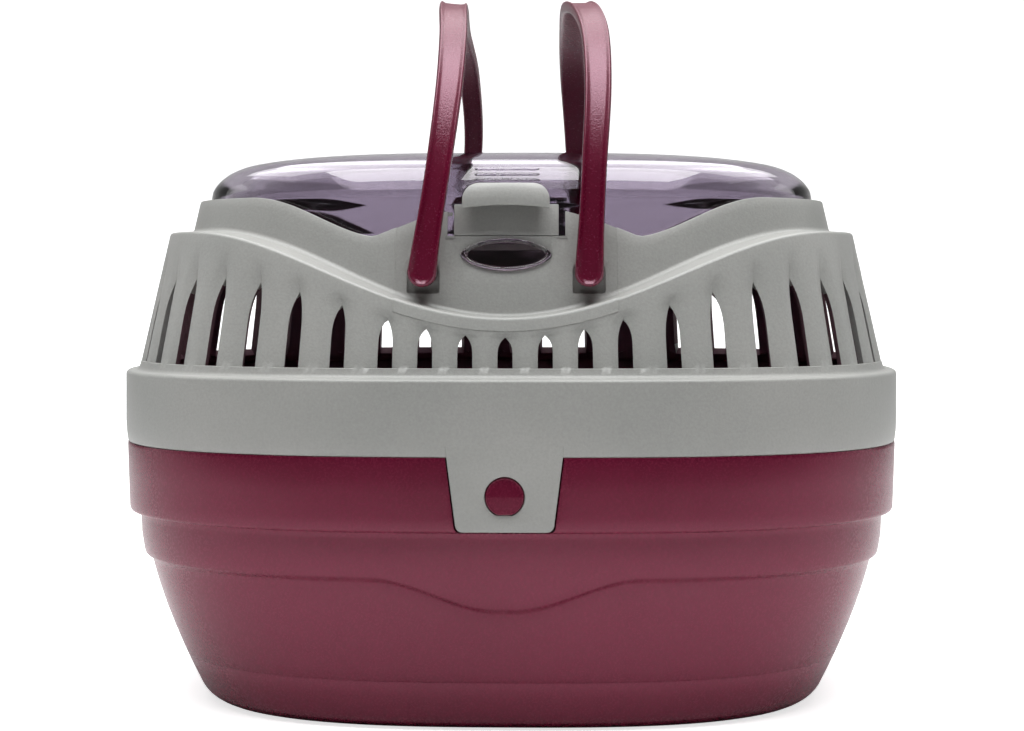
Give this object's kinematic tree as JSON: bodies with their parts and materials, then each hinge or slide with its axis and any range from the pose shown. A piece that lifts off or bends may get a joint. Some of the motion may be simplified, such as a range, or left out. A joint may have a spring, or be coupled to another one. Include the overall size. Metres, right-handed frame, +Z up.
{
  "type": "small pet carrier",
  "caption": "Plastic small-animal carrier: tapered tray, slotted lift-off top, clear hinged lid with spring latch and folding arch handles.",
  "frame": {"origin": "centre of the floor face, bottom centre of the closed carrier", "axes": "+X along the long side to the viewer's right, +Y to the back where the lid's hinge is, +Z up"},
  "size_m": [0.3, 0.23, 0.2708],
  "materials": {
    "burgundy_plastic": "satin moulded polypropylene, fine texture",
    "grey_plastic": "satin moulded polypropylene, fine texture",
    "burgundy_satin": "satin moulded plastic, leather grain",
    "clear_plastic": "clear glossy polystyrene"
  },
  "bodies": {
    "tray": {"base_tray": "burgundy_plastic"},
    "top": {"upper_shell": "grey_plastic", "front_bracket": "grey_plastic", "rear_bracket": "grey_plastic", "front_window": "clear_plastic", "lid_hinge_pin_left": "grey_plastic", "lid_hinge_pin_right": "grey_plastic", "handle_pin_front_left": "burgundy_satin", "handle_pin_front_right": "burgundy_satin", "handle_pin_rear_left": "burgundy_satin", "handle_pin_rear_right": "burgundy_satin"},
    "latch": {"lid_latch": "grey_plastic"},
    "lid": {"clear_lid": "clear_plastic"},
    "left_handle": {"handle_left": "burgundy_satin"},
    "right_handle": {"handle_right": "burgundy_satin"},
    "front_button": {"release_button_front": "burgundy_satin"},
    "rear_button": {"release_button_rear": "burgundy_satin"}
  },
  "joints": [
    {"name": "top_lift", "type": "slide", "parent": "tray", "child": "top", "axis": [0, 0, 1], "range_m": [0, 0.12]},
    {"name": "lid_hinge", "type": "hinge", "parent": "top", "child": "lid", "pos_m": [0, 0.09141, 0.1882], "axis": [-1, 0, 0], "range_deg": [0, 9]},
    {"name": "latch_flex", "type": "hinge", "parent": "top", "child": "latch", "pos_m": [0, -0.0893, 0.17635], "axis": [1, 0, 0], "range_deg": [0, 8], "stiffness_Nm_per_rad": 0.5},
    {"name": "left_handle_fold", "type": "hinge", "parent": "top", "child": "left_handle", "pos_m": [-0.0295, 0, 0.163], "axis": [0, -1, 0], "range_deg": [-7.5, 80]},
    {"name": "right_handle_fold", "type": "hinge", "parent": "top", "child": "right_handle", "pos_m": [0.0295, 0, 0.163], "axis": [0, 1, 0], "range_deg": [-12.5, 71]},
    {"name": "front_button_press", "type": "slide", "parent": "top", "child": "front_button", "axis": [0, 1, 0], "range_m": [0, 0.002], "stiffness_N_per_m": 1200},
    {"name": "rear_button_press", "type": "slide", "parent": "top", "child": "rear_button", "axis": [0, -1, 0], "range_m": [0, 0.002], "stiffness_N_per_m": 1200}
  ]
}
